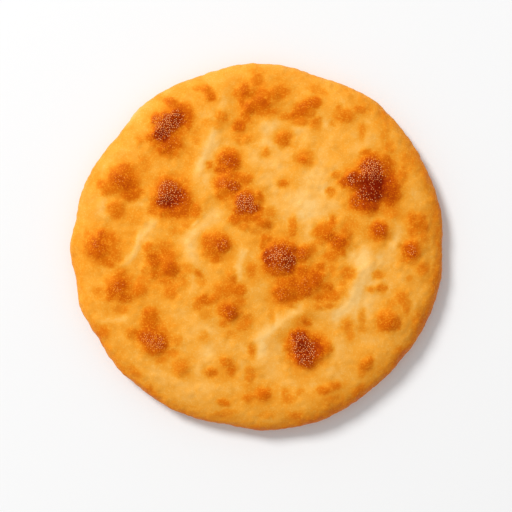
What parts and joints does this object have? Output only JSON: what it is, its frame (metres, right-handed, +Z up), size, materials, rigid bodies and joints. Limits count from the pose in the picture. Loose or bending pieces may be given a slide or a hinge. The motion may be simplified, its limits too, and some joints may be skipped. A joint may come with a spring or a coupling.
{
  "type": "bhatura bread",
  "caption": "Round leavened fried flatbread, puffed to a soft low pillow, with raised browned blisters and pale folds on top and a rounded rim.",
  "frame": {"origin": "middle of the bread's box, on the surface that it lies on", "axes": "+Z up through the browned side, +X along the longest way across the bread"},
  "size_m": [0.1996, 0.1966, 0.0219],
  "materials": {
    "crust": "soft golden fried dough with a light sheen of oil, orange-brown and dark brown spots on the blisters"
  },
  "bodies": {
    "root": {"bhatura": "crust"}
  },
  "joints": []
}
